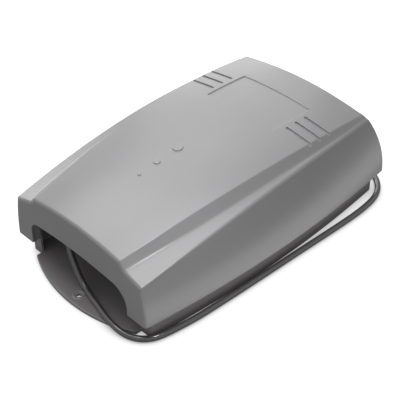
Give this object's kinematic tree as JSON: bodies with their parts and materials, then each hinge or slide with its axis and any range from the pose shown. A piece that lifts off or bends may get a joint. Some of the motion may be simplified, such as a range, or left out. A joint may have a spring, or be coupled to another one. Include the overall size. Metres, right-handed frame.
{
  "type": "wall battery unit",
  "caption": "Wall-mounted backup battery unit: a flared plastic cover lifts off a back tray that holds sealed batteries, a charger board and a cord bay.",
  "frame": {"origin": "centre of the bounding box's bottom face, without the cord, on the wall plane", "axes": "+Z out of the wall through the cover, +Y from the cord end to the top end, +X to the right across the cover"},
  "size_m": [0.2273, 0.428, 0.1212],
  "materials": {
    "cover_plastic": "satin moulded grey",
    "tray_plastic": "semi-gloss moulded dark grey",
    "black_plastic": "fine moulded",
    "battery_case": "moulded ABS",
    "tab_metal": "tinned",
    "foam": "closed-cell foam",
    "strap_steel": "zinc plated",
    "screw_steel": "zinc plated",
    "board_laminate": "solder-masked glass laminate",
    "copper_winding": "enamelled winding",
    "relay_plastic": "moulded",
    "capacitor_sleeve": "shrink sleeve",
    "sink_aluminium": "extruded",
    "chip_plastic": "moulded",
    "terminal_plastic": "moulded",
    "fuse_glass": "clear",
    "header_plastic": "moulded nylon",
    "led_lens": "clear tinted",
    "red_insulation": "PVC",
    "black_insulation": "PVC",
    "cord_sheath": "satin PVC sheath",
    "boot_rubber": "soft",
    "tie_nylon": "nylon",
    "plug_plastic": "moulded"
  },
  "bodies": {
    "base": {"back_plate": "tray_plastic", "tray_wall": "tray_plastic", "tray_posts": "tray_plastic", "bulkhead": "black_plastic", "battery_left": "battery_case", "battery_right": "battery_case", "tabs_left": "tab_metal", "tabs_right": "tab_metal", "battery_pads": "foam", "battery_strap": "strap_steel", "strap_screws": "screw_steel", "charger_board": "board_laminate", "board_screws": "screw_steel", "choke": "copper_winding", "relays": "relay_plastic", "capacitors": "capacitor_sleeve", "heat_sink": "sink_aluminium", "power_transistors": "chip_plastic", "terminal_block": "terminal_plastic", "fuse_clips": "tab_metal", "fuse_tube": "fuse_glass", "fuse_caps": "tab_metal", "battery_header": "header_plastic", "controller_chip": "chip_plastic", "status_led": "led_lens", "positive_lead": "red_insulation", "negative_lead": "black_insulation", "link_lead": "red_insulation", "feed_cores": "cord_sheath", "cord_boot": "boot_rubber", "cord": "cord_sheath", "cord_hank": "cord_sheath", "cord_tie": "tie_nylon", "cord_plug": "plug_plastic", "plug_sockets": "tab_metal"},
    "cover": {"front_cover": "cover_plastic"}
  },
  "joints": [
    {"name": "cover_lift", "type": "slide", "parent": "base", "child": "cover", "axis": [0, 0, 1], "range_m": [0, 0.14]}
  ]
}
